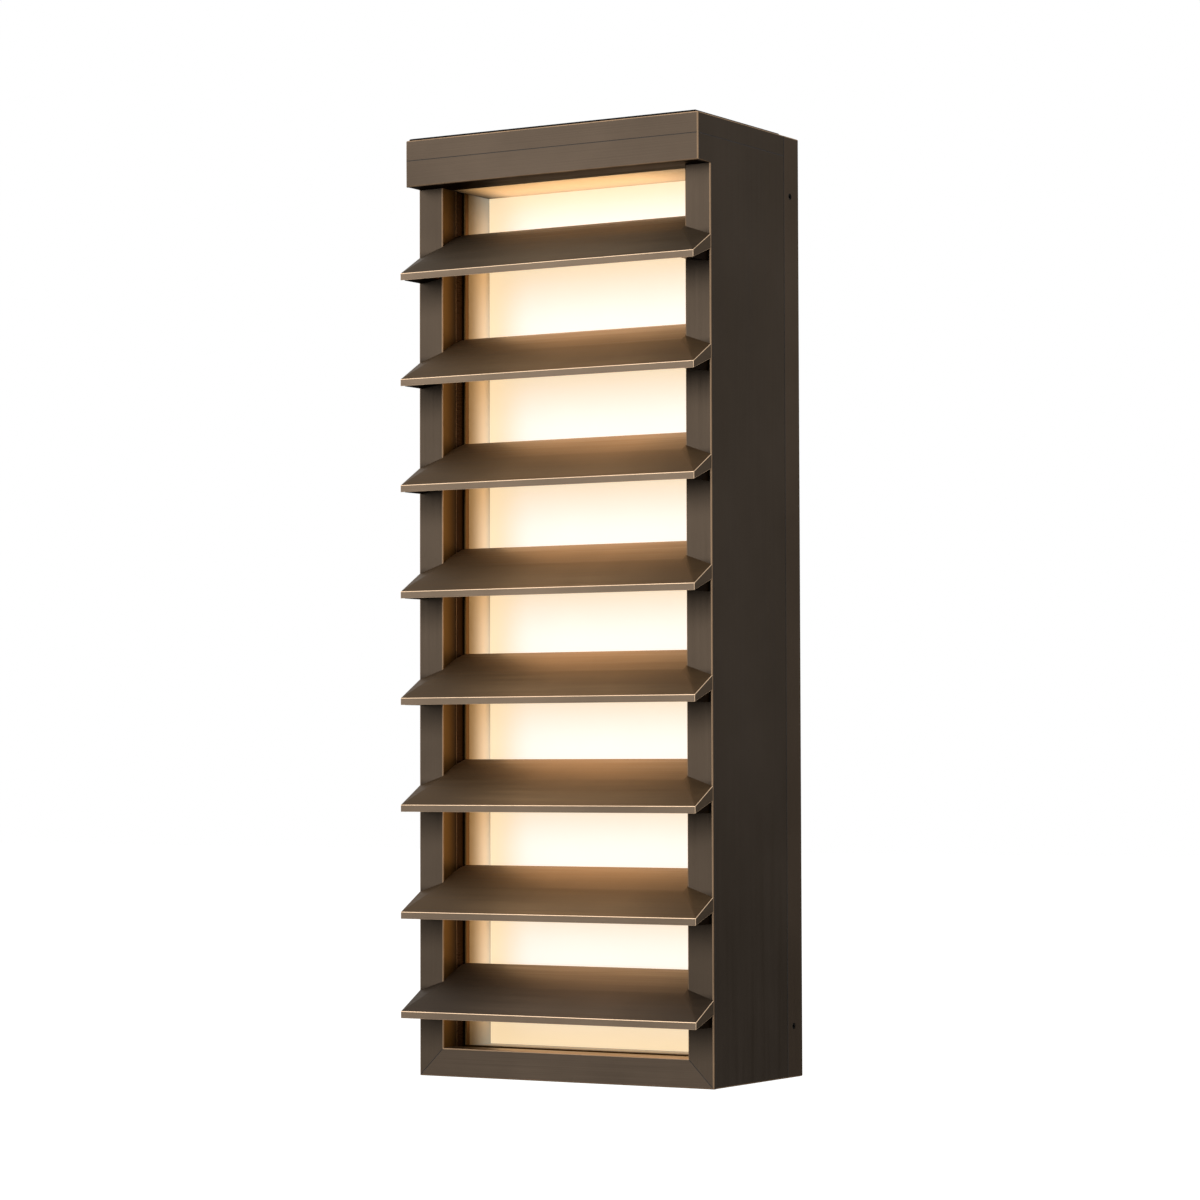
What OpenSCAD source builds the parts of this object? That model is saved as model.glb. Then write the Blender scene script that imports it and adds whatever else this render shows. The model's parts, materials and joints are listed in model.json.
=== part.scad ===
// Outdoor wall light: a tall bronze box with a hood, eight arched louvres over a
// glowing opal panel, and a shallow wall pan that the whole lantern pulls off.
// X runs right, Y into the wall, Z up. The origin is on the wall plane at
// mid-height, midway between the two junction-box screws.

/* [Overall size] */
// Height of the body, from its foot to the top of the cap
body_h = 610; // [560:1:700]
// Width of the body
body_w = 220; // [200:1:260]
// Distance from the wall to the face of the front frame
body_d = 117; // [112:1:140]
// Thickness of the folded sheet
sheet_t = 2; // [1.5:0.1:2.5]

/* [Hood] */
// Height of the whole hood band
hood_h = 30.5; // [26:0.5:40]
// How far the hood stands out in front of the frame
hood_out = 15.5; // [10:0.5:20]
// Depth of the soffit under the hood, from its front
soffit_d = 28; // [24:0.5:31]
// Height of the cap's skirt, the upper part of the hood band
cap_skirt = 13.4; // [10:0.1:16]
// Thickness of the dark roof plate on the cap
roof_t = 1.2; // [1:0.1:3]
// Margin of the cap left bare in front of the roof plate
roof_front = 1; // [0.5:0.1:4]
// Margin of the cap left bare at the plate's sides and back
roof_side = 2; // [0.5:0.1:2]

/* [Front frame] */
// Width of the stiles and of the bottom rail
frame_w = 18.5; // [16:0.5:24]
// Thickness of the frame's face
frame_t = 3; // [2:0.5:4]
// Depth of the frame's leg that turns back into the opening
return_d = 16.5; // [12:0.5:20]
// Depth of the dark groove behind that leg, up to the bead
groove_d = 10.5; // [8:0.5:14]
// How far the groove stands back from the opening
groove_step = 2; // [1:0.5:3]
// Overlap of the louvre rails and the sill bar behind that leg
rail_lap = 3.3; // [2:0.1:5]

/* [Louvres] */
// Height of the lowest lip above the foot of the body
louvre_foot = 38.3; // [30:0.1:44]
// Depth of the foot of the highest lip below the top of the body
louvre_head = 92.4; // [88:0.1:100]
// How much closer together the two lowest louvres are
louvre_near = 5.1; // [0:0.1:8]
// Number of louvres
louvre_count = 8; // [8]
// How far the lip stands out in front of the frame
louvre_out = 22; // [18:0.5:28]
// How far the blade reaches in behind the frame's face
louvre_in = 26.5; // [20:0.5:26.5]
// Height of the lip, and of the blade's section
lip_h = 4.5; // [3:0.5:6]
// Height from the foot of the lip to the back edge
louvre_rise = 34; // [28:1:38]
// Radius of the blade's arch
louvre_r = 90; // [80:5:400]
// Height of the facet on a blade's end, where it meets the stile
facet_h = 9.2; // [7:0.1:11]
// Height of that facet's foot above the foot of the lip
facet_foot = 7.7; // [5:0.1:9]
// How far a bracket stops short of the blade's end and of the lip
bracket_inset = 2; // [1:0.5:4]
// How far a bracket's foot rises towards the opening
bracket_rise = 2; // [0:0.5:3]

/* [Light box] */
// Width of the bead across the opening's edge
bead_w = 10; // [6:0.5:12]
// Depth of the bead
bead_d = 4.6; // [3:0.1:6]
// Thickness of the liner
liner_t = 1.2; // [1:0.1:2]
// How far the liner stands back from the bead
liner_step = 0.8; // [0.4:0.1:1.2]
// Thickness of the opal diffuser
diffuser_t = 3; // [2:0.5:4]
// Width of the diffuser's margin outside the opening
diffuser_lap = 10.5; // [8:0.5:12]
// Gap between the diffuser and the side panels
panel_gap = 2; // [1:0.5:3]
// Thickness of the diffuser's gasket
seal_t = 2; // [1:0.5:2]
// Width of the diffuser's gasket
seal_w = 7; // [5:0.5:8]

/* [Lamp] */
// Depth of the LED tray, from its lip to its back
tray_d = 19.2; // [16:0.1:20]
// Thickness of the tray
tray_t = 1.2; // [1:0.1:1.5]
// Width of an LED board
board_w = 20; // [16:1:26]
// Gap between the ends of an LED board and of the tray
board_end = 22.8; // [10:0.1:40]
// Thickness of an LED board
board_t = 1.6; // [1:0.2:2]
// Distance of a board's middle from the middle of the tray
board_x = 50; // [40:1:60]
// Number of LED packages on a board
led_count = 14; // [8:1:20]
// Side of a square LED package
led_w = 5; // [3:0.5:6]
// Height of an LED package
led_t = 1.2; // [0.8:0.1:1.6]
// Width of the driver
driver_w = 56; // [40:1:60]
// Height of the driver
driver_h = 150; // [100:5:170]
// Depth of the driver
driver_d = 22; // [16:1:26]
// Clearance between the driver and the wall plate
driver_room = 9.8; // [6:0.1:12]
// Depth of the driver's head below the top of the body
driver_drop = 55; // [50:1:80]
// Width of half an ear of the driver, and its length
ear_h = 10; // [8:1:12]
// Thickness of the driver's ears
ear_t = 1.5; // [1:0.1:2]
// Width of the terminal block
terminal_w = 40; // [36:1:50]
// Height of the terminal block
terminal_h = 18; // [14:1:24]
// Depth of the terminal block
terminal_d = 16; // [14:1:20]
// Length of the leads between the driver and the terminal block
terminal_gap = 40; // [30:1:60]
// Distance between two poles of the terminal block
pole_pitch = 12; // [10:0.5:13]
// Radius of a lead
lead_r = 1; // [0.8:0.1:1.2]
// Radius of the hole in the tray for the lead bush
bush_r = 3; // [2.5:0.1:4]
// Distance of the bush from the side of the driver
bush_gap = 7; // [6:0.5:8]

/* [Wall pan] */
// Depth of the strip that stands out from the wall
strip_d = 20; // [18:0.5:26]
// Thickness of that strip
strip_t = 3; // [3:0.5:4]
// Thickness of the wall plate
plate_t = 3; // [2.5:0.5:4]
// Width of the seam between the lantern and the strip
seam = 0.4; // [0.3:0.1:1]
// Width of the foam gasket behind the wall plate
foam_w = 4; // [3:0.5:6]
// Thickness of the foam gasket
foam_t = 2; // [1:0.5:2]
// Distance between the junction-box screw holes
box_pitch = 88.9; // [60.3, 69.9, 88.9]
// Radius of the junction-box screw holes
box_hole_r = 2.25; // [2:0.05:2.6]
// Distance between the wall-anchor holes across the plate
anchor_w = 150; // [120:5:160]
// Distance between the wall-anchor holes up the plate
anchor_h = 480; // [400:10:520]
// Radius of the wall-anchor holes
anchor_r = 2.75; // [2.5:0.25:3.5]
// Radius of the cable hole in the wall plate
cable_hole_r = 11; // [9:0.5:14]
// Radius of the bore through the cable grommet
grommet_r = 5; // [4:0.5:7]
// Distance of the earth screw from the middle of the plate, across
earth_x = 40; // [30:1:60]
// Depth of the earth screw below the middle of the plate
earth_drop = 25; // [20:1:60]

/* [Fasteners and fits] */
// Radius of the set, cap, bottom and earth screws
screw_r = 2; // [1.5:0.5:2]
// Radius of a countersunk head
csk_r = 3.8; // [3.6:0.1:4]
// Height of a countersunk head
csk_h = 1.9; // [1.5:0.1:2.2]
// Radius of the driver's screws
small_r = 1.5; // [1.25:0.25:1.5]
// Clearance around every screw
screw_gap = 0.05; // [0.03:0.01:0.1]
// Distance of the set screws from the wall
set_y = 12; // [10:0.5:14]
// Height of the lower set screws above the foot
set_low = 33; // [28:1:60]
// Depth of the upper set screws below the top
set_high = 39; // [34:1:60]
// Clearance between the set screws and the tongues, and of their recess
set_gap = 0.3; // [0.2:0.1:0.5]
// Width and depth of a corner block
block = 10; // [8:1:10]
// Thickness of the tongues
tongue_t = 2; // [1.5:0.5:2.5]
// Clearance between a tongue and the strip
tongue_gap = 0.4; // [0.3:0.1:0.6]
// Length of a tongue's foot on the side panel
tongue_foot = 11; // [8:1:12]
// Clearance between the end of a tongue and the wall plate
tongue_tip = 3; // [2:0.5:5]

/* [Hidden] */
$fn = 48;
eps = 0.01;

bronze = [0.29, 0.245, 0.205];
bronze_strip = [0.34, 0.28, 0.225];
near_black = [0.07, 0.065, 0.06];
gold = [0.72, 0.55, 0.33];
cream = [0.93, 0.87, 0.72];
glow = [1, 0.97, 0.88];
zinc = [0.72, 0.73, 0.74];
white = [0.92, 0.92, 0.9];
rubber = [0.1, 0.1, 0.1];
copper = [0.8, 0.45, 0.2];

half_w = body_w / 2;
half_h = body_h / 2;
open_x = half_w - frame_w;
sill_z = -half_h + frame_w;
soffit_z = half_h - hood_h;
cap_z = half_h - cap_skirt;
face_y = -body_d;
hood_y = face_y - hood_out;
soffit_y = hood_y + soffit_d;
back_y = -strip_d - seam;
leg_y = face_y + return_d;
bead_y = leg_y + groove_d;
liner_y = bead_y + bead_d;
tray_y = -plate_t - driver_room - driver_d;
lip_y = tray_y - tray_d;
seal_y = lip_y - seal_t;
diffuser_y = seal_y - diffuser_t;
groove_x = open_x + groove_step;
liner_x = open_x + liner_step;
inner_x = half_w - sheet_t;
panel_x = inner_x - panel_gap;
tray_x = panel_x - seal_w + tray_t;
pan_x = half_w - strip_t;
pan_z = half_h - strip_t;
tongue_x = pan_x - tongue_gap;
louvre_d = louvre_out + louvre_in;
louvre_pitch = (body_h - louvre_foot - louvre_head + louvre_near) / (louvre_count - 1);
tray_low = sill_z - diffuser_lap + seal_w;
tray_top = soffit_z + diffuser_lap - seal_w;
board_y = tray_y - tray_t - board_t;
board_low = tray_low + tray_t + board_end;
board_h = tray_top - tray_t - board_end - board_low;
driver_z = half_h - driver_drop - driver_h;
block_x = inner_x - block / 2;
block_back = tray_y - block / 2;
block_foot_y = face_y + frame_t + block / 2;
block_hood_y = hood_y + sheet_t + block;

// A plain block between two corners
module slab(x, y, z) {
    translate([x[0], y[0], z[0]])
        cube([x[1] - x[0], y[1] - y[0], z[1] - z[0]]);
}

// The right-hand piece as it is, or mirrored to the left
module on_side(s) {
    mirror([s < 0 ? 1 : 0, 0, 0])
        children();
}

// An outline in X and Z, given thickness along Y
module plate_xz(points, y0, y1) {
    translate([0, y1, 0])
        rotate([90, 0, 0])
            linear_extrude(y1 - y0)
                polygon(points);
}

// An outline in Y and Z, drawn as (distance behind the lip, height), along X
module along_x(points, x0, x1) {
    translate([x0, face_y - louvre_out, 0])
        rotate([90, 0, 90])
            linear_extrude(x1 - x0)
                polygon(points);
}

// A countersunk screw, with its flat top at the origin and its shank downwards
module csk_body(length, gap) {
    translate([0, 0, -csk_h - gap])
        cylinder(h = csk_h, r1 = screw_r + gap, r2 = csk_r + gap);
    translate([0, 0, -length])
        cylinder(h = length - eps, r = screw_r + gap);
}

module csk_screw(length) {
    difference() {
        csk_body(length, 0);
        for (a = [0, 90])
            rotate([0, 0, a])
                translate([-screw_r, -0.4, -1])
                    cube([2 * screw_r, 0.8, 2]);
    }
}

module csk_hole(length) {
    csk_body(length, screw_gap);
    translate([0, 0, -screw_gap - eps])
        cylinder(h = 1, r = csk_r + screw_gap);
}

// The four places of the corner blocks, front and back on both sides
module at_corners(front_y) {
    for (s = [-1, 1])
        for (y = [front_y, block_back])
            translate([s * block_x, y, 0])
                children();
}

// Front frame

module stile(s) {
    face = [
        [open_x, sill_z], [half_w, -half_h],
        [half_w, soffit_z], [open_x, soffit_z]
    ];
    color(bronze)
        on_side(s) {
            plate_xz(face, face_y, face_y + frame_t);
            slab([open_x, groove_x], [face_y + frame_t, leg_y], [sill_z, soffit_z]);
        }
}

module bottom_rail() {
    face = [
        [-half_w, -half_h], [half_w, -half_h],
        [open_x, sill_z], [-open_x, sill_z]
    ];
    color(bronze) {
        plate_xz(face, face_y, face_y + frame_t);
        slab(
            [-groove_x, groove_x],
            [face_y + frame_t, leg_y],
            [sill_z - groove_step, sill_z]
        );
    }
}

// Hood, roof and shell

module top_cap() {
    color(bronze)
        difference() {
            union() {
                slab([-half_w, half_w], [hood_y, back_y], [half_h - sheet_t, half_h]);
                slab([-half_w, half_w], [hood_y, hood_y + sheet_t], [cap_z, half_h]);
                for (s = [-1, 1])
                    on_side(s)
                        slab([inner_x, half_w], [hood_y, back_y], [cap_z, half_h]);
            }
            cap_holes();
        }
}

module roof_plate() {
    color(near_black)
        difference() {
            slab(
                [roof_side - half_w, half_w - roof_side],
                [hood_y + roof_front, back_y - roof_side],
                [half_h, half_h + roof_t]
            );
            cap_holes();
        }
}

module cap_holes() {
    translate([0, 0, half_h + roof_t])
        at_corners(block_hood_y)
            csk_hole(block + sheet_t + roof_t);
}

module hood_front() {
    color(bronze) {
        slab([-half_w, half_w], [hood_y, hood_y + sheet_t], [soffit_z, cap_z]);
        slab(
            [-inner_x, inner_x],
            [hood_y + sheet_t - eps, soffit_y],
            [soffit_z, soffit_z + sheet_t]
        );
        for (s = [-1, 1])
            on_side(s)
                slab(
                    [open_x, inner_x],
                    [soffit_y - eps, liner_y],
                    [soffit_z, soffit_z + sheet_t]
                );
    }
}

module side_panel(s) {
    color(bronze)
        on_side(s) {
            slab([inner_x, half_w], [face_y + frame_t, back_y], [-half_h, cap_z]);
            slab([inner_x, half_w], [hood_y + sheet_t, face_y + frame_t + eps], [soffit_z, cap_z]);
        }
}

module bottom_panel() {
    color(bronze)
        difference() {
            slab(
                [-inner_x, inner_x],
                [face_y + frame_t, back_y],
                [-half_h, sheet_t - half_h]
            );
            translate([0, 0, -half_h])
                mirror([0, 0, 1])
                    at_corners(block_foot_y)
                        csk_hole(block + sheet_t);
        }
}

module corner_blocks_top() {
    color(zinc)
        difference() {
            at_corners(block_hood_y)
                slab(
                    [-block / 2, block / 2],
                    [-block / 2, block / 2],
                    [cap_z - block / 2, half_h - sheet_t]
                );
            cap_holes();
        }
}

module corner_blocks_bottom() {
    color(zinc)
        difference() {
            at_corners(block_foot_y)
                slab(
                    [-block / 2, block / 2],
                    [-block / 2, block / 2],
                    [sheet_t - half_h, sheet_t + block - half_h]
                );
            translate([0, 0, -half_h])
                mirror([0, 0, 1])
                    at_corners(block_foot_y)
                        csk_hole(block + sheet_t);
        }
}

module cap_screws() {
    color(near_black)
        translate([0, 0, half_h + roof_t])
            at_corners(block_hood_y)
                csk_screw(block + sheet_t);
}

module bottom_screws() {
    color(bronze)
        translate([0, 0, -half_h])
            mirror([0, 0, 1])
                at_corners(block_foot_y)
                    csk_screw(block);
}

// Louvres

// Centre of the blade's arch, below and behind the middle of its chord
chord = sqrt(louvre_d * louvre_d + (louvre_rise - lip_h) * (louvre_rise - lip_h));
drop = sqrt(louvre_r * louvre_r - chord * chord / 4) / chord;
arch_u = louvre_d / 2 + drop * (louvre_rise - lip_h);
arch_z = (louvre_rise + lip_h) / 2 - drop * louvre_d;

// Height of the blade's top at a distance behind the lip
function arch(u) = arch_z + sqrt(louvre_r * louvre_r - (u - arch_u) * (u - arch_u));

// Steps of the blade's section, in front of the frame's face and behind it
front_steps = [for (i = [0:6]) louvre_out * i / 6];
back_steps = [for (i = [1:6]) louvre_out + louvre_in * i / 6];

// The blade's section over a list of distances behind the lip
function blade(steps) = concat(
    [for (u = steps) [u, arch(u)]],
    [for (i = [len(steps) - 1:-1:0]) [steps[i], arch(steps[i]) - lip_h]]
);

// Height of the foot of a lip, counted from the highest louvre down
function lip_z(n) = louvre_foot - half_h
    + (n == louvre_count ? 0 : (louvre_count - n) * louvre_pitch - louvre_near);

module louvre_end(s) {
    facet = [
        [0, 0], [0, lip_h],
        [louvre_out, facet_foot + facet_h], [louvre_out, facet_foot]
    ];
    on_side(s)
        hull() {
            along_x(blade(front_steps), open_x - eps, open_x);
            along_x(facet, half_w - eps, half_w);
        }
}

module louvre(n) {
    color(bronze)
        translate([0, 0, lip_z(n)]) {
            along_x(blade(concat(front_steps, back_steps)), -open_x, open_x);
            louvre_end(-1);
            louvre_end(1);
        }
}

// A wedge that fills the space under a blade's end, its foot rising inwards
module louvre_bracket() {
    outer_x = half_w - bracket_inset;
    outline = [
        [groove_x, bracket_rise], [outer_x, 0],
        [outer_x, louvre_rise], [groove_x, louvre_rise]
    ];
    difference() {
        plate_xz(outline, face_y - louvre_out + bracket_inset, face_y);
        hull() {
            louvre_end(1);
            translate([0, 0, louvre_rise])
                louvre_end(1);
        }
    }
}

module louvre_brackets(s) {
    color(bronze)
        on_side(s)
            for (n = [1:louvre_count])
                translate([0, 0, lip_z(n)])
                    louvre_bracket();
}

// Reveal between the frame and the light box

module louvre_rail(s) {
    color(near_black)
        on_side(s)
            slab(
                [groove_x, groove_x + bead_w],
                [leg_y - rail_lap, bead_y],
                [sill_z - groove_step, soffit_z]
            );
}

module sill_bar() {
    color(near_black)
        slab(
            [-groove_x - bead_w, groove_x + bead_w],
            [leg_y - rail_lap, bead_y],
            [sill_z - groove_step - bead_w, sill_z - groove_step]
        );
}

module bead(s) {
    color(gold)
        on_side(s)
            slab([open_x, open_x + bead_w], [bead_y, liner_y], [sill_z, soffit_z]);
}

module bead_bottom() {
    color(gold)
        slab(
            [-open_x - bead_w, open_x + bead_w],
            [bead_y, liner_y],
            [sill_z - bead_w, sill_z]
        );
}

// Light box

module liner(s) {
    color(cream)
        on_side(s)
            slab(
                [liner_x, liner_x + liner_t],
                [liner_y, diffuser_y],
                [sill_z - liner_step, soffit_z]
            );
}

module liner_top() {
    color(cream) {
        slab([-open_x, open_x], [soffit_y, liner_y + eps], [soffit_z, soffit_z + liner_t]);
        slab(
            [-liner_x - liner_t, liner_x + liner_t],
            [liner_y, diffuser_y],
            [soffit_z, soffit_z + liner_t]
        );
    }
}

module liner_bottom() {
    color(cream)
        slab(
            [-liner_x - liner_t, liner_x + liner_t],
            [liner_y, diffuser_y],
            [sill_z - liner_step - liner_t, sill_z - liner_step]
        );
}

module diffuser() {
    color(glow)
        slab(
            [-panel_x, panel_x],
            [diffuser_y, seal_y],
            [sill_z - diffuser_lap, soffit_z + diffuser_lap]
        );
}

module diffuser_gasket() {
    color(rubber)
        difference() {
            slab(
                [-panel_x, panel_x],
                [seal_y, lip_y],
                [sill_z - diffuser_lap, soffit_z + diffuser_lap]
            );
            slab(
                [seal_w - panel_x, panel_x - seal_w],
                [seal_y - 1, lip_y + 1],
                [sill_z - diffuser_lap + seal_w, soffit_z + diffuser_lap - seal_w]
            );
        }
}

module led_tray() {
    color(white)
        difference() {
            union() {
                slab([-tray_x, tray_x], [lip_y, tray_y], [tray_low, tray_top]);
                slab(
                    [-inner_x, inner_x],
                    [lip_y, lip_y + tray_t],
                    [sill_z - diffuser_lap, soffit_z + diffuser_lap]
                );
            }
            slab(
                [tray_t - tray_x, tray_x - tray_t],
                [lip_y - 1, tray_y - tray_t],
                [tray_low + tray_t, tray_top - tray_t]
            );
            driver_holes(small_r + screw_gap);
            at_bush()
                cylinder(h = 8 * tray_t, r = bush_r, center = true);
        }
}

module led_board(s) {
    color(white)
        on_side(s)
            slab(
                [board_x - board_w / 2, board_x + board_w / 2],
                [board_y, board_y + board_t],
                [board_low, board_low + board_h]
            );
}

module led_packages() {
    led_pitch = board_h / led_count;
    color(glow)
        for (s = [-1, 1])
            for (i = [0:led_count - 1])
                translate([s * board_x, board_y, board_low + (i + 0.5) * led_pitch])
                    slab([-led_w / 2, led_w / 2], [-led_t, 0], [-led_w / 2, led_w / 2]);
}

// Driver and wiring on the back of the tray

bush_x = driver_w / 2 + bush_gap;
bush_z = driver_z + driver_h * 0.7;
bush_rim = tray_t / 2 + 1;
lead_y = tray_y + driver_d / 2;
terminal_z = driver_z - terminal_gap;
poles = [-pole_pitch, 0, pole_pitch];

module at_ears() {
    for (z = [driver_z - ear_h / 2, driver_z + driver_h + ear_h / 2])
        translate([0, tray_y + ear_t, z])
            rotate([-90, 0, 0])
                children();
}

module driver_holes(r) {
    at_ears()
        cylinder(h = 8 * ear_t, r = r, center = true);
}

module driver() {
    color(white)
        difference() {
            union() {
                slab(
                    [-driver_w / 2, driver_w / 2],
                    [tray_y, tray_y + driver_d],
                    [driver_z, driver_z + driver_h]
                );
                slab(
                    [-ear_h, ear_h],
                    [tray_y, tray_y + ear_t],
                    [driver_z - ear_h, driver_z + driver_h + ear_h]
                );
            }
            driver_holes(small_r + screw_gap);
        }
}

module driver_screws() {
    color(zinc)
        at_ears()
            difference() {
                union() {
                    cylinder(h = small_r * 1.2, r = small_r * 1.9);
                    translate([0, 0, -ear_t - tray_t - 1])
                        cylinder(h = ear_t + tray_t + 1 + eps, r = small_r);
                }
                translate([0, 0, 0.8])
                    cylinder(h = 4, r = small_r * 0.9, $fn = 6);
            }
}

module terminal_block() {
    color(white)
        difference() {
            slab(
                [-terminal_w / 2, terminal_w / 2],
                [tray_y, tray_y + terminal_d],
                [terminal_z - terminal_h, terminal_z]
            );
            for (x = poles)
                translate([x, tray_y + terminal_d, terminal_z - terminal_h / 2])
                    rotate([90, 0, 0])
                        cylinder(h = 5, r = 2.5);
            for (x = poles)
                translate([x, lead_y, terminal_z - terminal_h - 1])
                    cylinder(h = 6, r = 2 * lead_r);
        }
}

module input_leads() {
    color(near_black)
        for (x = poles)
            translate([x, lead_y, terminal_z])
                cylinder(h = terminal_gap, r = lead_r);
}

// Rubber bush in the tray, for the leads that go forward to the boards
module at_bush() {
    translate([bush_x, tray_y - tray_t / 2, bush_z])
        rotate([-90, 0, 0])
            children();
}

module lead_bush() {
    color(rubber)
        at_bush()
            rotate_extrude()
                polygon([
                    [lead_r + screw_gap, -bush_rim], [bush_r + 1, -bush_rim],
                    [bush_r + 1, -tray_t / 2], [bush_r, -tray_t / 2],
                    [bush_r, tray_t / 2], [bush_r + 1, tray_t / 2],
                    [bush_r + 1, bush_rim], [lead_r + screw_gap, bush_rim]
                ]);
}

// Lead from the driver's side through the bush to one board, and on to the other
module output_leads() {
    front_y = board_y - lead_r;
    solder_x = board_x - led_w;
    color(copper) {
        translate([driver_w / 2, lead_y, bush_z])
            rotate([0, 90, 0])
                cylinder(h = bush_x - driver_w / 2, r = lead_r);
        translate([bush_x, lead_y, bush_z])
            sphere(r = lead_r);
        translate([bush_x, front_y, bush_z])
            rotate([-90, 0, 0])
                cylinder(h = lead_y - front_y, r = lead_r);
        translate([bush_x, front_y, bush_z])
            sphere(r = lead_r);
        translate([bush_x, front_y, bush_z])
            rotate([0, 90, 0])
                cylinder(h = solder_x - bush_x, r = lead_r);
        translate([-solder_x, front_y, bush_z - 4 * bush_r])
            rotate([0, 90, 0])
                cylinder(h = 2 * solder_x, r = lead_r);
    }
}

// Tongues that carry the lantern in the wall pan

module tongue(s) {
    foot_y = back_y - tongue_foot;
    joggle_y = foot_y - tongue_t;
    tip_y = -plate_t - tongue_tip;
    section = [
        [inner_x - tongue_t, joggle_y - tongue_foot], [inner_x, joggle_y - tongue_foot],
        [inner_x, joggle_y], [tongue_x, foot_y],
        [tongue_x, tip_y], [tongue_x - tongue_t, tip_y],
        [tongue_x - tongue_t, foot_y - 1], [inner_x - tongue_t, joggle_y - 1]
    ];
    color(zinc)
        on_side(s)
            translate([0, 0, -soffit_z])
                linear_extrude(2 * soffit_z)
                    polygon(section);
}

// Wall pan

module at_set_screws(x) {
    for (z = [set_low - half_h, half_h - set_high])
        translate([x, -set_y, z])
            rotate([0, 90, 0])
                children();
}

module rear_strip(s) {
    color(bronze_strip)
        on_side(s)
            difference() {
                slab([pan_x, half_w], [-strip_d, 0], [-half_h, half_h]);
                at_set_screws(pan_x - 1)
                    cylinder(h = strip_t + 2, r = screw_r + screw_gap);
            }
}

module rear_strip_top() {
    color(bronze_strip)
        slab([-pan_x, pan_x], [-strip_d, 0], [pan_z, half_h]);
}

module rear_strip_bottom() {
    color(bronze_strip)
        slab([-pan_x, pan_x], [-strip_d, 0], [-half_h, -pan_z]);
}

module set_screws(s) {
    length = half_w - tongue_x - 2 * set_gap;
    color(near_black)
        on_side(s)
            at_set_screws(tongue_x + set_gap)
                difference() {
                    cylinder(h = length, r = screw_r);
                    translate([0, 0, length / 2])
                        cylinder(h = length, r = screw_r * 0.55, $fn = 6);
                }
}

module foam_ring(y0, y1) {
    difference() {
        slab([-pan_x, pan_x], [y0, y1], [-pan_z, pan_z]);
        slab([foam_w - pan_x, pan_x - foam_w], [y0 - 1, y1 + 1], [foam_w - pan_z, pan_z - foam_w]);
    }
}

module wall_plate() {
    color(zinc)
        difference() {
            slab([-pan_x, pan_x], [-plate_t, 0], [-pan_z, pan_z]);
            foam_ring(-foam_t, 1);
            rotate([90, 0, 0])
                cylinder(h = 4 * plate_t, r = cable_hole_r, center = true);
            for (s = [-1, 1])
                translate([0, 0, s * box_pitch / 2])
                    rotate([90, 0, 0])
                        cylinder(h = 4 * plate_t, r = box_hole_r, center = true);
            for (x = [-1, 1])
                for (z = [-1, 1])
                    translate([x * anchor_w / 2, 0, z * anchor_h / 2])
                        rotate([90, 0, 0])
                            cylinder(h = 4 * plate_t, r = anchor_r, center = true);
            at_earth()
                cylinder(h = 4 * plate_t, r = screw_r + screw_gap, center = true);
        }
}

module wall_gasket() {
    color(rubber)
        foam_ring(-foam_t, 0);
}

module cable_grommet() {
    rim = cable_hole_r + 2.5;
    rim_y = plate_t + 1.5;
    nose_y = 2 * plate_t;
    color(rubber)
        rotate([90, 0, 0])
            rotate_extrude()
                polygon([
                    [grommet_r, 0], [cable_hole_r, 0],
                    [cable_hole_r, plate_t], [rim, plate_t],
                    [rim, rim_y], [cable_hole_r, nose_y],
                    [grommet_r, nose_y]
                ]);
}

module at_earth() {
    translate([earth_x, -plate_t, -earth_drop])
        rotate([90, 0, 0])
            children();
}

module earth_screw() {
    color([0.2, 0.5, 0.25])
        at_earth()
            difference() {
                union() {
                    cylinder(h = 2.4, r = 2 * screw_r);
                    translate([0, 0, 0.3 - plate_t])
                        cylinder(h = plate_t, r = screw_r);
                }
                translate([-2 * screw_r - 1, -0.4, 1.4])
                    cube([4 * screw_r + 2, 0.8, 2]);
            }
}

stile(-1);  // stile_left
stile(1);  // stile_right
bottom_rail();
top_cap();
roof_plate();
hood_front();
side_panel(-1);  // side_panel_left
side_panel(1);  // side_panel_right
bottom_panel();
louvre(1);  // louvre_1
louvre(2);  // louvre_2
louvre(3);  // louvre_3
louvre(4);  // louvre_4
louvre(5);  // louvre_5
louvre(6);  // louvre_6
louvre(7);  // louvre_7
louvre(8);  // louvre_8
louvre_brackets(-1);  // louvre_brackets_left
louvre_brackets(1);  // louvre_brackets_right
louvre_rail(-1);  // louvre_rail_left
louvre_rail(1);  // louvre_rail_right
sill_bar();
bead(-1);  // bead_left
bead(1);  // bead_right
bead_bottom();
liner(-1);  // liner_left
liner(1);  // liner_right
liner_top();
liner_bottom();
diffuser();
diffuser_gasket();
led_tray();
led_board(-1);  // led_board_left
led_board(1);  // led_board_right
led_packages();
driver();
driver_screws();
terminal_block();
input_leads();
output_leads();
lead_bush();
corner_blocks_top();
corner_blocks_bottom();
cap_screws();
bottom_screws();
tongue(-1);  // tongue_left
tongue(1);  // tongue_right
wall_plate();
rear_strip(-1);  // rear_strip_left
rear_strip(1);  // rear_strip_right
rear_strip_top();
rear_strip_bottom();
set_screws(-1);  // set_screws_left
set_screws(1);  // set_screws_right
wall_gasket();
cable_grommet();
earth_screw();
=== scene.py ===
"""Looks of the outdoor wall light: brushed bronze sheet with worn edges that carry a painted
highlight, faces and light-box walls with painted light and shade, a lit opal panel behind eight
louvres, and a white studio. Lengths are in metres."""

import json
import math

import bmesh
import bpy
from mathutils import Matrix, Vector
from mathutils.bvhtree import BVHTree


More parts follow.
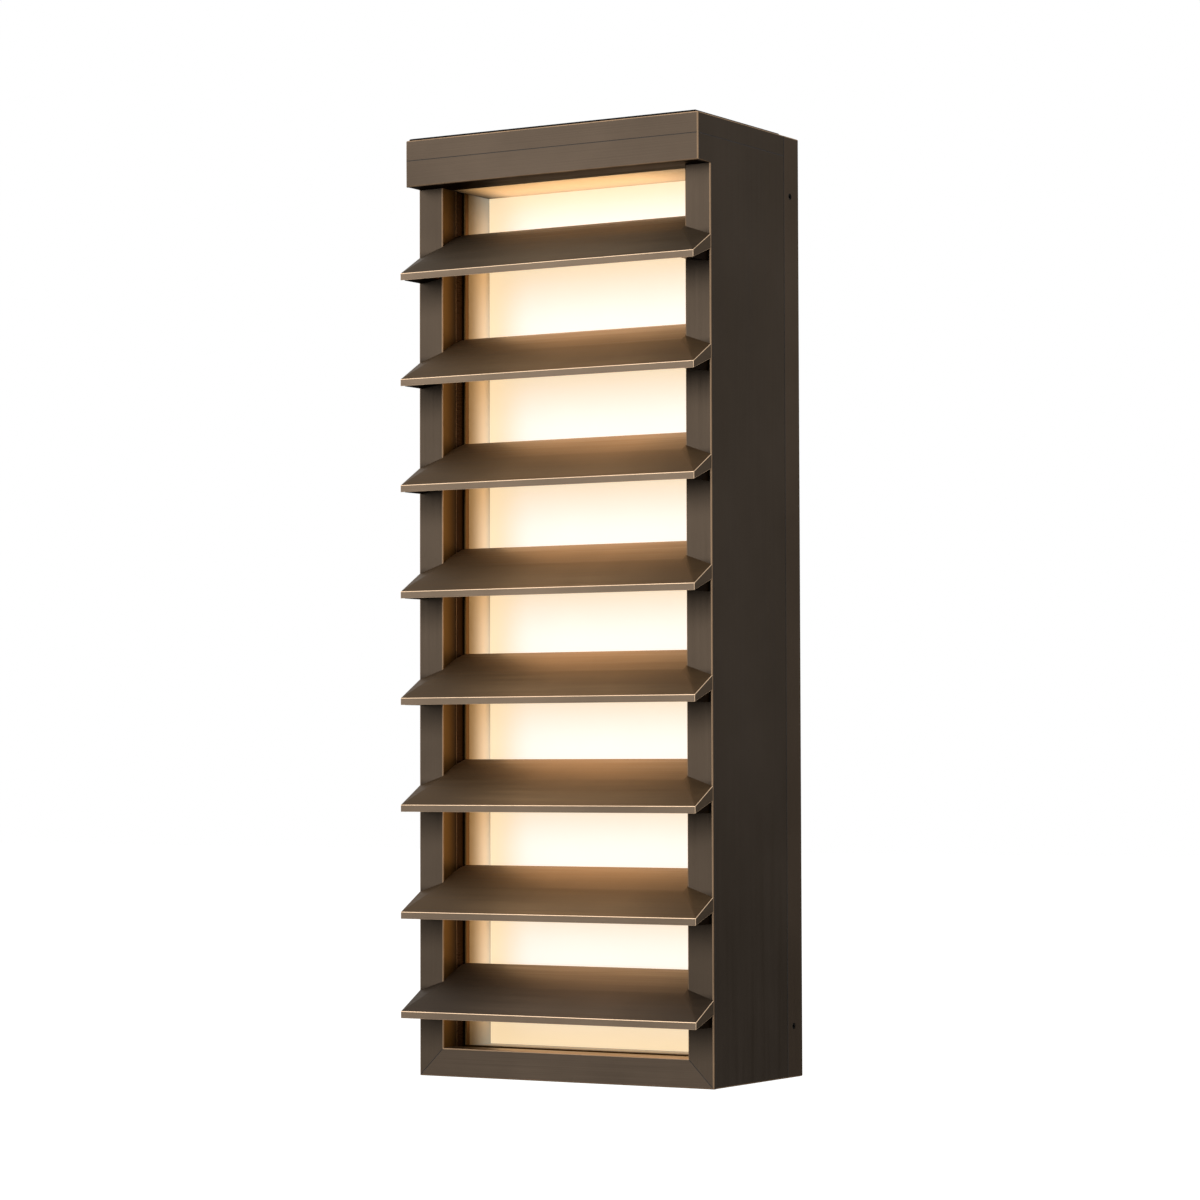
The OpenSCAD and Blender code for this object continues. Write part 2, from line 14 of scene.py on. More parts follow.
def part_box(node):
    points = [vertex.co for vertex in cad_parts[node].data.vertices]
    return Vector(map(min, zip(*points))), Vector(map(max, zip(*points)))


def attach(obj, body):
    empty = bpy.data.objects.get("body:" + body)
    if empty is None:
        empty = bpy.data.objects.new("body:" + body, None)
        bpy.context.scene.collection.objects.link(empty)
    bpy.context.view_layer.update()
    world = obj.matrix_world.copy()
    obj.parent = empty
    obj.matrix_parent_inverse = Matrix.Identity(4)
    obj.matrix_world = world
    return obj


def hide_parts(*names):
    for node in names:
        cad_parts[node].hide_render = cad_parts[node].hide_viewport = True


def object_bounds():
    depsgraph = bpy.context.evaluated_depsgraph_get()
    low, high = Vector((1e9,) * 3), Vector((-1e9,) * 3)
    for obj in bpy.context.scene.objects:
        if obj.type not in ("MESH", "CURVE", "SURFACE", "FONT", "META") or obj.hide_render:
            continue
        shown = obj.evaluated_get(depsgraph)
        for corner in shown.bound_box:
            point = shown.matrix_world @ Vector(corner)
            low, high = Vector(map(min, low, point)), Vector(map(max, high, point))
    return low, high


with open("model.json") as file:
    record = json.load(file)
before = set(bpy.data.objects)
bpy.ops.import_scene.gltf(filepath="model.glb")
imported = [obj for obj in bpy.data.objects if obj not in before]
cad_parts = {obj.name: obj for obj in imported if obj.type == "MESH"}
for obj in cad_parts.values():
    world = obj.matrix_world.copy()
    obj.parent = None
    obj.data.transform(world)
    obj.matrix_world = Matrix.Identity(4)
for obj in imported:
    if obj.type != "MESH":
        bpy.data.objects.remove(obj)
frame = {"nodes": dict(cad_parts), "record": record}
cad_box = [list(corner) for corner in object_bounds()]
nodes = frame["nodes"]
slot_of = {part["node"]: part["material_slot"] for part in frame["record"]["subparts"]}
body_of = {
    node: body
    for body, members in frame["record"]["behaviour"]["bodies"].items()
    for node in members
}

# Places taken from the light's own pieces; its front looks along -Y
LOUVRES = [f"louvre_{n}" for n in range(1, 9)]
panel_low, panel_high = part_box("diffuser")
stile_low, stile_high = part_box("stile_left")
liner_low, liner_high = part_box("liner_left")
WALL_X = -liner_high.x
HALF_WIDTH = cad_box[1][0]

# Camera, fitted to the photograph's corners
CAMERA_AT = Vector((1.2772, -2.1769, -0.0986))
YAW = math.radians(31.23)
PITCH = math.radians(2.38)
ROLL = math.radians(-0.16)
FOCAL_PX = 3792
IMAGE_PX = 1200
SENSOR_MM = 36
CLIP_END = 50

# Colours of the sheet metal, linear
BRONZE = (0.07, 0.051, 0.036)
STILE_BRONZE = (0.06, 0.044, 0.031)
# The flanks: the same bronze, darker, as painted shade
SIDE_SHADED_BRONZE = (0.039, 0.031, 0.025)
STRIP_BRONZE = (0.053, 0.039, 0.029)
# The louvres' tops: the bronze lighter and gold, as painted glow of the panel; dimmer on the top
# louvre and in painted shade on the lowest
BLADE_PANEL_LIT = (0.167, 0.101, 0.049)
TOP_BLADE_LESS_LIT = (0.115, 0.079, 0.047)
LOW_BLADE_SHADED = (0.085, 0.057, 0.036)
# The stiles' inner returns: a warm gold copy of the bronze, as painted glow of the panel
RETURN_PAINTED_GLOW = (0.065, 0.043, 0.018)
# The hood's underside, the louvre brackets and the rails: the bronze near black, as painted shade
SOFFIT_PAINTED_SHADE = (0.016, 0.009, 0.003)
# The louvres' lips: the bronze drawn lighter, as painted light on their front
LIP_LIT_BRONZE = (0.13, 0.095, 0.066)
# Edges worn through to copper and drawn bright as a painted highlight, brightest on the lips
COPPER_WEAR_AND_HIGHLIGHT = (0.25, 0.165, 0.1)
LIP_ARRIS_HIGHLIGHT_AND_WEAR = (0.7, 0.5, 0.33)
SEAM_DARK = (0.012, 0.009, 0.007)

# Tints of what the metal mirrors at a glancing angle
SHEEN = (0.62, 0.56, 0.5)
DULL = (0.15, 0.1, 0.05)
SOFFIT_SHEEN = (0.13, 0.075, 0.02)

# Base colours of the light box's walls, at their mouth and at their back: darker at the mouth and
# lighter towards the panel, as painted shade and light
WALL_BASE = ((0.155, 0.112, 0.05), (0.5, 0.4, 0.27))
CEILING_BASE = ((0.62, 0.47, 0.26), (0.6, 0.45, 0.3))

# Painted glow of those walls, which are no lamp: under the louvres, weaker as painted shadow, and
# between them
WALL_PAINTED_GLOW = ((0.05, 0.04, 0.02), (0.3, 0.32, 0.28))
CEILING_PAINTED_GLOW = ((0.24, 0.18, 0.11), (0.24, 0.18, 0.11))

# Glow of the panel, at its edge, dimmer and warmer as painted shade, and in its middle, and the
# colours of its body and lamp
PANEL_GLOW = ((0.8, 0.6, 0.35), (0.93, 0.83, 0.74))
OPAL_BODY = (0.5, 0.5, 0.48)
LAMP_WARM = (1.0, 0.62, 0.3)

# Colours of the other pieces and of the studio
BLACK = (0.004, 0.0034, 0.0028)
GOLD = (0.06, 0.035, 0.012)
ZINC = (0.48, 0.49, 0.5)
ENAMEL = (0.8, 0.8, 0.77)
RUBBER = (0.02, 0.02, 0.02)
GREEN = (0.03, 0.2, 0.05)
PHOSPHOR = (0.9, 0.7, 0.2)
FLOOR_GREY = (0.6, 0.6, 0.6, 1)
WHITE = (1, 1, 1, 1)

# Noise scales along X, Y and Z, per metre; a small one draws the grain out along its axis
ACROSS = (10, 120, 1500)
UPRIGHT = (1500, 1500, 10)
BROAD = (240, 240, 8)
BLOTCHES = (14, 14, 14)
CLOUDS = (40, 40, 40)
EDGE_NOISE = (60, 60, 60)
PLATING = (150, 150, 150)
PAINT = (300, 300, 300)
ROOF_SPECKLES = (500, 500, 500)
SPECKLES = (600, 600, 600)

# How far noise varies a colour
BLOTCH_SPREAD = 0.13
SPECKLE_SPREAD = 0.06
CLOUD_SPREAD = 0.03

# Where most of a noise's values lie
NOISE_LOW = 0.3
NOISE_HIGH = 0.7

# How far the blotches' noise is shifted, so that it doesn't follow the grain's
BLOTCH_SHIFT = 3.7

# Roughness of a matt surface, from its lowest to its highest
MATT = (0.5, 0.65)

# Depth and strength of the relief of brushing and of a fine grain
BRUSHING = (0.00003, 0.5)
FINE_GRAIN = (0.00002, 0.4)

# How wide a free edge and a seam are worn, and how near another piece makes a seam
ARRIS_WIDTH = 0.0008
SEAM_WIDTH = 0.0003
TOUCH = 0.0005

# Corners as near as this are joined, before and after the edges are worn
WELD = 0.00003
SLIVER = WELD / 3

# The length over which an edge is worn, and the angle over which it is sharp
SHORTEST = 0.002
SHARP = math.radians(28)

# Angles up to which two faces become one, and up to which a louvre is shaded as round
FLAT = math.radians(0.4)
SMOOTH = math.radians(9)

# What part of its normal makes a face look along an axis, or up like a blade's top
FACING = 0.9
TOPSIDE = 0.2

# Beyond this X a face is one of the light's flanks, which get the bronze in painted shade
FLANK_X = HALF_WIDTH - 0.001

# The panel's lamp: how far it stands in front of the panel and inside its border
LAMP_GAP = 0.0005
LAMP_INSET = 0.02
LAMP_WATTS = 0.7

# The world's strength as a light, and where it is seen
WORLD_LIGHT = 0.45
WORLD_SEEN = 1.0

# The floor's reach each way, its depth below the light, and its brightness to the camera
FLOOR_REACH = 12
FLOOR_DROP = 0.2
FLOOR_LIFT = 0.8


def inward(axis, edge, way, start, reach, low=0.0):
    """A fade inward from an edge, way 1 up the axis or -1 down it: low up to its start,
    and gone at its reach."""
    return axis, edge + way * start, edge + way * reach, low


# Fades from the pieces' edges: painted shade towards the blades' ends, on the stiles' returns and
# the light box's walls, and the panel's light dimmed as painted shade near its edges
BLADE_FADES = (
    inward("X", -HALF_WIDTH, 1, start=0.02, reach=0.105, low=0.4),
    inward("X", HALF_WIDTH, -1, start=0.005, reach=0.075, low=0.5),
)
# The returns darken towards the back of the stile, as painted shade
RETURN_FADES = (
    inward("Y", stile_high.y, -1, start=-0.005, reach=stile_high.y - stile_low.y),
)
# The liner dims into its top and bottom corners, as painted shade
LINER_FADES = (
    inward("Z", liner_high.z, -1, start=0, reach=0.05, low=0.55),
    inward("Z", liner_low.z, 1, start=-0.02, reach=0.05, low=0.5),
)
# The ceiling darkens towards its ends, as painted shade
CEILING_FADES = (
    inward("X", -WALL_X, 1, start=-0.003, reach=0.025, low=0.03),
    inward("X", WALL_X, -1, start=-0.01, reach=0.06, low=0.3),
)
# The panel's light dims near the walls and its ends, as painted shade
PANEL_FADES = (
    inward("X", -WALL_X, 1, start=-0.004, reach=0.035),
    inward("X", WALL_X, -1, start=-0.004, reach=0.035),
    inward("Z", panel_low.z, 1, start=0.01, reach=0.055),
    inward("Z", panel_high.z, -1, start=0.005, reach=0.04),
)

# Painted shadows of the louvres, as between_louvres draws them, and how soft their tops are
STILE_SHADOW = {"above": 0, "below": 0.025, "low": 0.42, "lap": 0.012}
PANEL_SHADOW = {"above": 0.026, "below": 0.03}
WALL_SHADOW = {"above": 0.02, "below": 0.035}
SHADOW_TOP = 0.006


def build_material(name):
    """A new material, its node tree and its shader."""
    material = bpy.data.materials.new(name)
    material.use_nodes = True
    tree = material.node_tree
    return material, tree, tree.nodes["Principled BSDF"]


def along(tree, axis):
    """The distance along one of the object's own axes."""
    place = tree.nodes.new("ShaderNodeTexCoord")
    parts = tree.nodes.new("ShaderNodeSeparateXYZ")
    tree.links.new(place.outputs["Object"], parts.inputs["Vector"])
    return parts.outputs[axis]


def noise(tree, scales, detail=2, shift=0):
    """Noise in the object's own metres, stretched along the axis with the small scale."""
    place = tree.nodes.new("ShaderNodeTexCoord")
    stretch = tree.nodes.new("ShaderNodeMapping")
    stretch.inputs["Scale"].default_value = scales
    stretch.inputs["Location"].default_value = (shift, shift, shift)
    texture = tree.nodes.new("ShaderNodeTexNoise")
    texture.inputs["Scale"].default_value = 1
    texture.inputs["Detail"].default_value = detail
    tree.links.new(place.outputs["Object"], stretch.inputs["Vector"])
    tree.links.new(stretch.outputs["Vector"], texture.inputs["Vector"])
    return texture.outputs["Fac"]


def remap(tree, value, low, high):
    """A noise's usual values, spread between two others."""
    node = tree.nodes.new("ShaderNodeMapRange")
    node.inputs["From Min"].default_value = NOISE_LOW
    node.inputs["From Max"].default_value = NOISE_HIGH
    node.inputs["To Min"].default_value = low
    node.inputs["To Max"].default_value = high
    tree.links.new(value, node.inputs["Value"])
    return node.outputs["Result"]


def varied(tree, value, spread):
    """A noise as a factor that is a little under or over 1."""
    return remap(tree, value, 1 - spread, 1 + spread)


def ramp(tree, value, dark, clear, low=0.0):
    """Low at the dark place and 1 at the clear one, eased at both ends."""
    node = tree.nodes.new("ShaderNodeMapRange")
    node.interpolation_type = "SMOOTHSTEP"
    node.inputs["From Min"].default_value = dark
    node.inputs["From Max"].default_value = clear
    node.inputs["To Min"].default_value = low
    tree.links.new(value, node.inputs["Value"])
    return node.outputs["Result"]


def joined(tree, operation, values):
    """The first value put through one operation with each of the others in turn."""
    result, *others = values
    for value in others:
        node = tree.nodes.new("ShaderNodeMath")
        node.operation = operation
        tree.links.new(result, node.inputs[0])
        tree.links.new(value, node.inputs[1])
        result = node.outputs["Value"]
    return result


def product(tree, *values):
    return joined(tree, "MULTIPLY", values)


def highest(tree, *values):
    return joined(tree, "MAXIMUM", values)


def shade(tree, colour, factor):
    """A colour, fixed or itself varying, times a factor that varies over the surface."""
    node = tree.nodes.new("ShaderNodeVectorMath")
    node.operation = "SCALE"
    if isinstance(colour, tuple):
        node.inputs[0].default_value = colour
    else:
        tree.links.new(colour, node.inputs[0])
    tree.links.new(factor, node.inputs["Scale"])
    return node.outputs["Vector"]


def blend(tree, factor, start, end):
    """One colour where the factor is 0 and another where it is 1."""
    mix = tree.nodes.new("ShaderNodeMix")
    mix.data_type = "RGBA"
    mix.inputs["A"].default_value = (*start, 1)
    mix.inputs["B"].default_value = (*end, 1)
    tree.links.new(factor, mix.inputs["Factor"])
    return mix.outputs["Result"]


def bump(tree, shader, height, depth, strength):
    """Relief of a surface, by a height between 0 and 1."""
    node = tree.nodes.new("ShaderNodeBump")
    node.inputs["Distance"].default_value = depth
    node.inputs["Strength"].default_value = strength
    tree.links.new(height, node.inputs["Height"])
    tree.links.new(node.outputs["Normal"], shader.inputs["Normal"])


def fade_factors(tree, fades):
    """A factor for each fade, which paints shade or dims painted light."""
    return [ramp(tree, along(tree, axis), *places) for axis, *places in fades]


def between_louvres(tree, above, below, low=0.0, lap=0.0):
    """A painted shadow of each louvre: 1 in the gaps between louvres and low behind each, from
    above its foot, where the shadow has come in from below it, up to a lap under its head."""
    height = along(tree, "Z")
    gaps = []
    for louvre in LOUVRES:
        foot, head = (corner.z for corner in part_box(louvre))
        top = head - lap
        under = ramp(tree, height, foot + above, foot - below, low)
        over = ramp(tree, height, top - SHADOW_TOP, top, low)
        gaps.append(highest(tree, under, over))
    return product(tree, *gaps)


def brushed(
    name, colour, scales, metallic=0.92, rough=(0.36, 0.5), streak=0.1, sheen=SHEEN,
    fades=(), shadow=None,
):
    """Metal brushed one way, with faint blotches; it may carry painted shade towards one side or
    painted shadows under louvres.
    """
    material, tree, shader = build_material(name)
    grain = noise(tree, scales, detail=3)
    blotch = noise(tree, BLOTCHES, detail=4, shift=BLOTCH_SHIFT)
    factors = [
        varied(tree, grain, streak),
        varied(tree, blotch, BLOTCH_SPREAD),
        *fade_factors(tree, fades),
    ]
    if shadow:
        factors.append(between_louvres(tree, **shadow))
    tint = shade(tree, colour, product(tree, *factors))
    tree.links.new(tint, shader.inputs["Base Color"])
    tree.links.new(remap(tree, grain, *rough), shader.inputs["Roughness"])
    shader.inputs["Metallic"].default_value = metallic
    shader.inputs["Specular Tint"].default_value = (*sheen, 1)
    bump(tree, shader, grain, *BRUSHING)
    return material


def blade(name, colour):
    """A louvre's top: less like a mirror, with painted shade towards its two ends."""
    return brushed(name, colour, ACROSS, metallic=0.55, rough=(0.42, 0.56), fades=BLADE_FADES)


def worn_highlit_edge(name, colour, streak=0.1):
    """An edge worn to copper and drawn bright as a painted highlight, without a direction."""
    return brushed(name, colour, EDGE_NOISE, metallic=0.85, rough=(0.3, 0.45), streak=streak)


def speckled(name, colour, rough=MATT, scales=SPECKLES, metallic=0.0, shine=0.5):
    """A matt moulded, painted or cast surface with a fine even grain."""
    material, tree, shader = build_material(name)
    grain = noise(tree, scales)
    tint = shade(tree, colour, varied(tree, grain, SPECKLE_SPREAD))
    tree.links.new(tint, shader.inputs["Base Color"])
    tree.links.new(remap(tree, grain, *rough), shader.inputs["Roughness"])
    shader.inputs["Metallic"].default_value = metallic
    shader.inputs["Specular IOR Level"].default_value = shine
    bump(tree, shader, grain, *FINE_GRAIN)
    return material


def opal(name):
    """The lit panel: creamy, and dimmer and warmer near the box's walls and behind each louvre, as
    painted shade.
    """
    material, tree, shader = build_material(name)
    middle = product(tree, *fade_factors(tree, PANEL_FADES), between_louvres(tree, **PANEL_SHADOW))
    glow = blend(tree, middle, *PANEL_GLOW)
    cloud = noise(tree, CLOUDS)
    tint = shade(tree, OPAL_BODY, varied(tree, cloud, CLOUD_SPREAD))
    tree.links.new(glow, shader.inputs["Emission Color"])
    tree.links.new(tint, shader.inputs["Base Color"])
    shader.inputs["Emission Strength"].default_value = 1.0
    shader.inputs["Roughness"].default_value = 0.6
    shader.inputs["Specular IOR Level"].default_value = 0.2
    return material


def box_wall(name, node, base, glow, fades):
    """A cream wall of the light box with painted light and shade: its base goes from painted shade
    at its mouth to painted light at its back, its painted glow is weaker under the louvres, and
    both dim into the corners as painted shade."""
    material, tree, shader = build_material(name)
    mouth, back = (corner.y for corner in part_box(node))
    deep = ramp(tree, along(tree, "Y"), mouth, back)
    dim = product(tree, *fade_factors(tree, fades))
    tint = shade(tree, blend(tree, deep, *base), dim)
    light = blend(tree, between_louvres(tree, **WALL_SHADOW), *glow)
    grain = noise(tree, PAINT)
    tree.links.new(tint, shader.inputs["Base Color"])
    tree.links.new(light, shader.inputs["Emission Color"])
    tree.links.new(product(tree, deep, dim), shader.inputs["Emission Strength"])
    tree.links.new(remap(tree, grain, *MATT), shader.inputs["Roughness"])
    shader.inputs["Specular IOR Level"].default_value = 0.2
    bump(tree, shader, grain, *FINE_GRAIN)
    return material


# By material slot, or by the name that a piece or a face has of its own
MATERIALS = {
    "bronze": brushed("bronze_brushed_across", BRONZE, ACROSS, streak=0.18),
    # The stiles, with painted shadows under each louvre
    "upright": brushed("bronze_brushed_upright", STILE_BRONZE, UPRIGHT, shadow=STILE_SHADOW),
    # The flanks, in painted shade
    "side": brushed("bronze_side_painted_shade", SIDE_SHADED_BRONZE, BROAD, streak=0.14),
    # The lips, in painted light
    "lip": brushed("bronze_lip_painted_light", LIP_LIT_BRONZE, ACROSS),
    "bronze_strip": brushed("bronze_strip", STRIP_BRONZE, UPRIGHT),
    # Louvre tops: lit and shaded copies of one bronze, as painted light
    "blade": blade("bronze_blade_painted_glow", BLADE_PANEL_LIT),
    "top_blade": blade("bronze_top_blade_painted_light", TOP_BLADE_LESS_LIT),
    "low_blade": blade("bronze_low_blade_painted_shade", LOW_BLADE_SHADED),
    # The stiles' returns, with painted glow and painted shade
    "return": brushed("bronze_return_painted_light", RETURN_PAINTED_GLOW, UPRIGHT, sheen=DULL, fades=RETURN_FADES),
    # Undersides, brackets and rails, in painted shade
    "soffit": brushed("bronze_soffit_painted_shade", SOFFIT_PAINTED_SHADE, ACROSS, sheen=SOFFIT_SHEEN),
    # The lips' top arris: worn copper with a painted highlight
    "lip_edge": worn_highlit_edge("lip_arris_highlight_and_wear", LIP_ARRIS_HIGHLIGHT_AND_WEAR),
    "seam": speckled("seam_dark", SEAM_DARK),
    # Other free edges: worn copper with a painted highlight
    "edge": worn_highlit_edge("copper_edge_wear_and_highlight", COPPER_WEAR_AND_HIGHLIGHT, streak=0.15),
    "black": speckled("roof_black", BLACK, scales=ROOF_SPECKLES, shine=0.05),
    "gold": brushed("bead_gold", GOLD, UPRIGHT, metallic=0.8, rough=(0.25, 0.4), sheen=DULL),
    # The light box's walls, with painted glow and painted shade
    "liner": box_wall("liner_cream_painted_glow", "liner_left", WALL_BASE, WALL_PAINTED_GLOW, LINER_FADES),
    "ceiling": box_wall("ceiling_cream_painted_glow", "liner_top", CEILING_BASE, CEILING_PAINTED_GLOW, CEILING_FADES),
    "opal": opal("opal_panel"),
    "led": speckled("phosphor", PHOSPHOR),
    "zinc": brushed("zinc_plate", ZINC, PLATING, metallic=0.8, rough=(0.35, 0.55), streak=0.06),
    "white_tray": speckled("white_enamel", ENAMEL, rough=(0.4, 0.5)),
    "plastic": speckled("moulded_plastic", ENAMEL),
    "rubber": speckled("rubber", RUBBER, rough=(0.7, 0.85)),
    "earth_green": speckled("earth_green", GREEN, rough=(0.35, 0.45), metallic=0.6),
}

# Nodes with a surface of their own, by how their names begin: stiles with painted louvre shadows,
# side panels in painted shade, the ceiling with painted glow and shade, brackets and rails in
# painted shade
OWN_SURFACE = {
    "stile": "upright",
    "side_panel": "side",
    "liner_top": "ceiling",
    "louvre_brackets": "soffit",
    "louvre_rail": "soffit",
}

# Louvres whose blades get their own painted light: dimmer on the top one, painted shade on the
# lowest
OWN_BLADE = {"louvre_1": "top_blade", "louvre_8": "low_blade"}

# Places in a finished piece's list of materials; the faces of FACE_NAMES, lit and shaded copies of
# the bronze as painted light and shade, come last
FACE, EDGE, SEAM, SPECIAL = range(4)
FACE_NAMES = ("side", "lip", "blade", "return", "soffit")

# Slots whose edges wear through to copper and carry a painted highlight, and all the slots with
# softened edges
BARE_METAL = ("bronze", "bronze_strip")
SOFTENED = (*BARE_METAL, "black", "gold", "liner", "zinc")

# Pieces of those slots that aren't softened, by how their names begin
UNSOFTENED = (
    "set_screws", "cap_screws", "bottom_screws", "driver_screws", "corner_blocks",
    "louvre_brackets",
)


def surface(node):
    """The material of a node's faces."""
    for start, name in OWN_SURFACE.items():
        if node.startswith(start):
            return MATERIALS[name]
    return MATERIALS[slot_of[node]]


def materials_of(node):
    """A node's materials: its faces, worn edges with a painted highlight, seams, and the painted
    lit and shaded faces that bronze_face names.
    """
    face = surface(node)
    if slot_of[node] not in BARE_METAL:
        return face, face, face
    edge = MATERIALS["lip_edge" if node in LOUVRES else "edge"]
    special = {name: MATERIALS[name] for name in FACE_NAMES}
    special["blade"] = MATERIALS[OWN_BLADE.get(node, "blade")]
    return face, edge, MATERIALS["seam"], *special.values()


def bronze_face(node, face):
    """The special material of one face of a bronze piece, or none: a lip in painted light, a blade
    top in painted glow, a flank or the hood's underside in painted shade, a stile's return in
    painted glow and shade.
    """
    if node in LOUVRES:
        if face.normal.y < -FACING:
            return "lip"
        return "blade" if face.normal.z > TOPSIDE else None
    sideways = abs(face.normal.x) > FACING
    if sideways and abs(face.calc_center_median().x) > FLANK_X:
        return "side"
    if sideways and node.startswith("stile"):
        return "return"
    if node == "hood_front" and face.normal.z < -FACING:
        return "soffit"
    return None


def cleaned(mesh):
    """A node's mesh joined up again, each flat face as few pieces as can be."""
    body = bmesh.new()
    body.from_mesh(mesh)
    bmesh.ops.remove_doubles(body, verts=body.verts, dist=WELD)
    bmesh.ops.dissolve_limit(body, angle_limit=FLAT, verts=body.verts, edges=body.edges)
    return body


def choose_faces(body, node):
    """Gives each face its place in the piece's list of materials."""
    for face in body.faces:
        special = bronze_face(node, face) if slot_of[node] == "bronze" else None
        face.material_index = SPECIAL + FACE_NAMES.index(special) if special else FACE


def sharp_edges(body):
    """The piece's sharp edges, but not the short facets around its holes."""
    return [
        edge for edge in body.edges
        if edge.is_manifold and edge.calc_length() > SHORTEST and edge.calc_face_angle() > SHARP
    ]


def is_seam(edge, others):
    """True where an edge lies against another piece."""
    middle = (edge.verts[0].co + edge.verts[1].co) / 2
    return any(tree.find_nearest(middle, TOUCH)[0] is not None for tree in others)


def round_edges(body, edges, width, material):
    """Bevels some edges, the new faces in one material of the piece's list."""
    bmesh.ops.bevel(
        body, geom=edges, offset=width, offset_type="OFFSET", segments=2, profile=0.5,
        affect="EDGES", clamp_overlap=True, material=material,
    )


def wear_and_highlight_edges(body, others):
    """Rounds the free edges, for bronze in the worn copper with its painted highlight, and then,
    finer, those that lie against the other pieces.
    """
    free = [edge for edge in sharp_edges(body) if not is_seam(edge, others)]
    round_edges(body, free, ARRIS_WIDTH, EDGE)
    seams = [edge for edge in sharp_edges(body) if is_seam(edge, others)]
    round_edges(body, seams, SEAM_WIDTH, SEAM)
    bmesh.ops.remove_doubles(body, verts=body.verts, dist=SLIVER)


def add_object(name, data):
    """A new object in the scene."""
    thing = bpy.data.objects.new(name, data)
    bpy.context.collection.objects.link(thing)
    return thing


def softened(node, trees):
    """A copy of a node with worn free edges, on bronze with a painted highlight, and fine dark
    lines where it meets others.
    """
    body = cleaned(nodes[node].data)
    choose_faces(body, node)
    wear_and_highlight_edges(body, [tree for name, tree in trees.items() if name != node])
    mesh = bpy.data.meshes.new(node + "_finished")
    for material in materials_of(node):
        mesh.materials.append(material)
    body.to_mesh(mesh)
    body.free()
    if node in LOUVRES:
        mesh.shade_smooth()
        mesh.set_sharp_from_angle(angle=SMOOTH)
    piece = add_object(node + "_finished", mesh)
    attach(piece, body_of[node])
    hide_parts(node)


def search_tree(mesh):
    """A tree that finds what part of a mesh lies near a place."""
    corners = [vertex.co for vertex in mesh.vertices]
    faces = [tuple(face.vertices) for face in mesh.polygons]
    return BVHTree.FromPolygons(corners, faces)


def dress_nodes():
    """Every node gets its material, and the sheet and bar pieces worn edges too, those of bronze
    with a painted highlight.
    """
    trees = {node: search_tree(source.data) for node, source in nodes.items()}
    for node, source in nodes.items():
        if slot_of[node] in SOFTENED and not node.startswith(UNSOFTENED):
            softened(node, trees)
            continue
        source.data.materials.clear()
        source.data.materials.append(surface(node))


def place_camera():
    """The photograph's camera: turned by YAW, tilted by PITCH and leant by ROLL."""
    data = bpy.data.cameras.new("camera")
    data.sensor_width = SENSOR_MM
    data.lens = SENSOR_MM * FOCAL_PX / IMAGE_PX
    data.clip_end = CLIP_END
    camera = add_object("camera", data)
    ahead = Vector((
        -math.sin(YAW) * math.cos(PITCH),
        math.cos(YAW) * math.cos(PITCH),
        math.sin(PITCH),
    ))
    level = Vector((math.cos(YAW), math.sin(YAW), 0))
    upright = level.cross(ahead)
    right = math.cos(ROLL) * level + math.sin(ROLL) * upright
    up = math.cos(ROLL) * upright - math.sin(ROLL) * level
    turn = Matrix((right, up, -ahead)).transposed()
    camera.matrix_world = Matrix.Translation(CAMERA_AT) @ turn.to_4x4()
    bpy.context.scene.camera = camera


def area_lamp(name, at, target, size, watts, colour=WHITE[:3]):
    """A rectangular lamp that faces a place, and that the camera doesn't see."""
    data = bpy.data.lights.new(name, "AREA")
    data.shape = "RECTANGLE"
    data.size, data.size_y = size
    data.energy = watts
    data.color = colour
    lamp = add_object(name, data)
    lamp.location = at
    lamp.rotation_euler = (Vector(target) - Vector(at)).to_track_quat("-Z", "Y").to_euler()
    lamp.visible_camera = False
    return lamp


def light_box_lamp():
    """The panel's own light, which gilds the louvres, the liner and the soffit."""
    span = panel_high - panel_low
    at = (panel_low + panel_high) / 2
    at.y = panel_low.y - LAMP_GAP
    ahead = at + Vector((0, -1, 0))
    size = (span.x - 2 * LAMP_INSET, span.z - 2 * LAMP_INSET)
    lamp = area_lamp("light_box", at, ahead, size, LAMP_WATTS, LAMP_WARM)
    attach(lamp, "lantern")


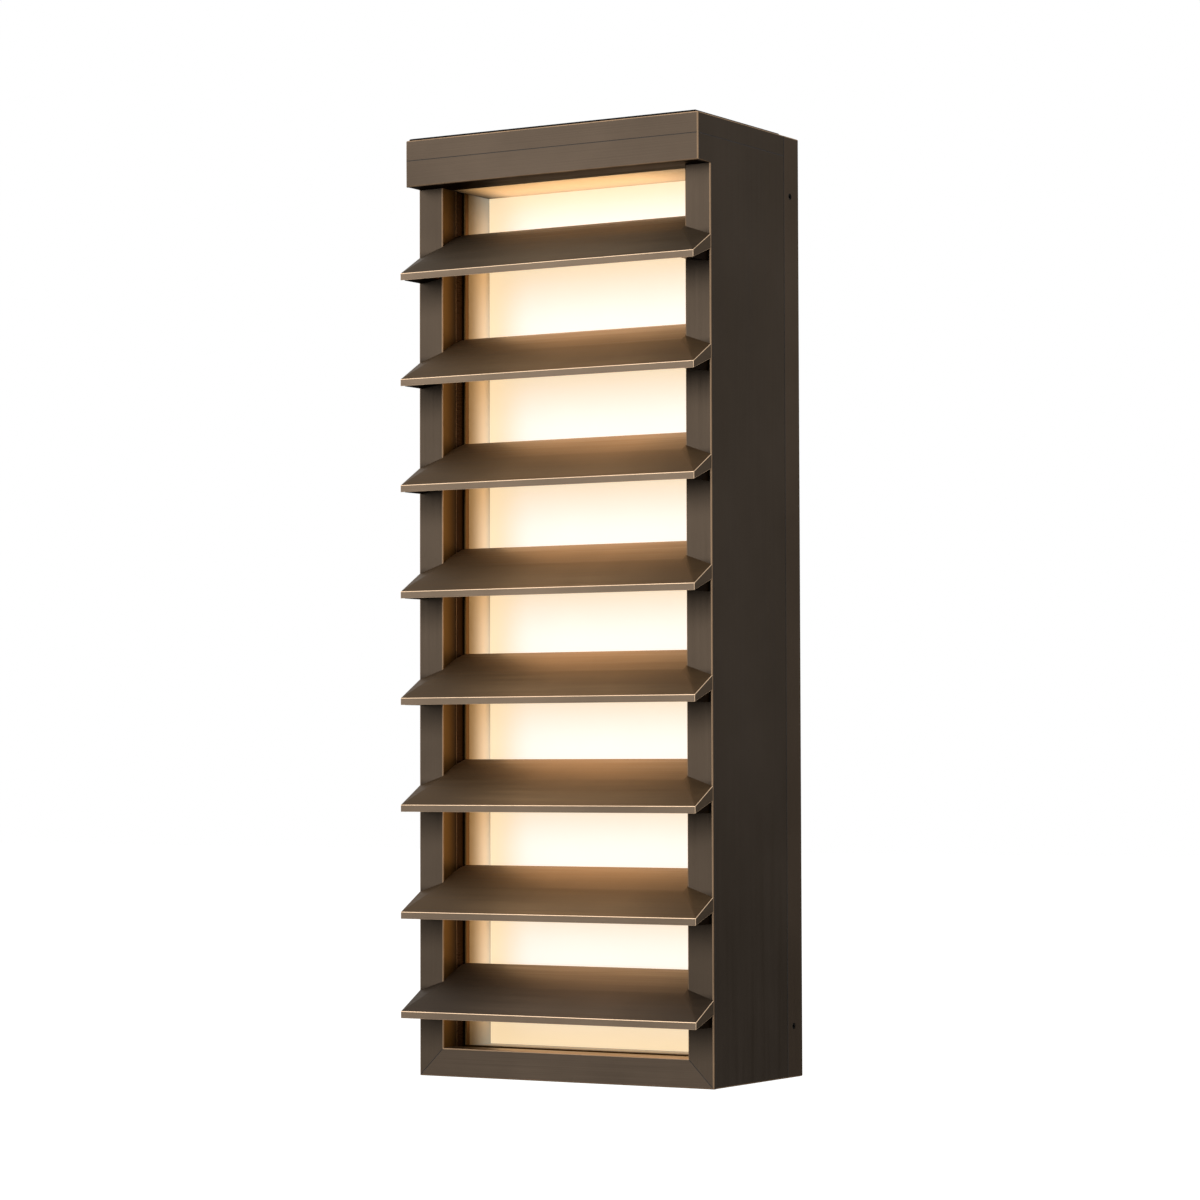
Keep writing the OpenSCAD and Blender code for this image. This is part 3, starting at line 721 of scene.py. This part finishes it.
def light_studio():
    """Large soft lamps in front of the light, over it and at its right side."""
    front = (0, -0.1, 0)
    middle = (0, 0, 0)
    area_lamp("key", at=(-1.6, -3.0, 0.9), target=front, size=(2.2, 3.0), watts=46)
    area_lamp("overhead", at=(-0.3, -1.6, 2.6), target=front, size=(2.4, 1.6), watts=24)
    area_lamp("front_fill", at=(0.9, -3.4, 0.4), target=front, size=(1.6, 2.4), watts=12)
    area_lamp("side_fill", at=(3.0, -0.6, 1.2), target=middle, size=(1.6, 2.2), watts=8)


def white_world():
    """White to the camera, to reflections and to glass, softer as a light."""
    world = bpy.data.worlds.new("studio")
    bpy.context.scene.world = world
    world.use_nodes = True
    tree = world.node_tree
    background = tree.nodes["Background"]
    background.inputs["Color"].default_value = WHITE
    ray = tree.nodes.new("ShaderNodeLightPath")
    kinds = ("Is Camera Ray", "Is Glossy Ray", "Is Transmission Ray")
    seen = highest(tree, *[ray.outputs[kind] for kind in kinds])
    strength = tree.nodes.new("ShaderNodeMapRange")
    strength.inputs["To Min"].default_value = WORLD_LIGHT
    strength.inputs["To Max"].default_value = WORLD_SEEN
    tree.links.new(seen, strength.inputs["Value"])
    tree.links.new(strength.outputs["Result"], background.inputs["Strength"])


def floor_material():
    """A matt grey that is lifted towards white, but to the camera only."""
    material, tree, shader = build_material("floor_white")
    shader.inputs["Base Color"].default_value = FLOOR_GREY
    shader.inputs["Roughness"].default_value = 0.9
    shader.inputs["Specular IOR Level"].default_value = 0
    ray = tree.nodes.new("ShaderNodeLightPath")
    lift = tree.nodes.new("ShaderNodeMath")
    lift.operation = "MULTIPLY"
    lift.inputs[1].default_value = FLOOR_LIFT
    tree.links.new(ray.outputs["Is Camera Ray"], lift.inputs[0])
    shader.inputs["Emission Color"].default_value = WHITE
    tree.links.new(lift.outputs["Value"], shader.inputs["Emission Strength"])
    return material


def pale_floor():
    """A plain floor under the light, out of the photograph's view."""
    body = bmesh.new()
    bmesh.ops.create_grid(body, x_segments=1, y_segments=1, size=FLOOR_REACH)
    mesh = bpy.data.meshes.new("floor")
    body.to_mesh(mesh)
    body.free()
    mesh.materials.append(floor_material())
    floor = add_object("floor", mesh)
    floor.location.z = cad_box[0][2] - FLOOR_DROP


place_camera()
dress_nodes()
light_box_lamp()
light_studio()
white_world()
pale_floor()
bpy.context.scene.view_settings.view_transform = "Standard"

bpy.context.view_layer.update()
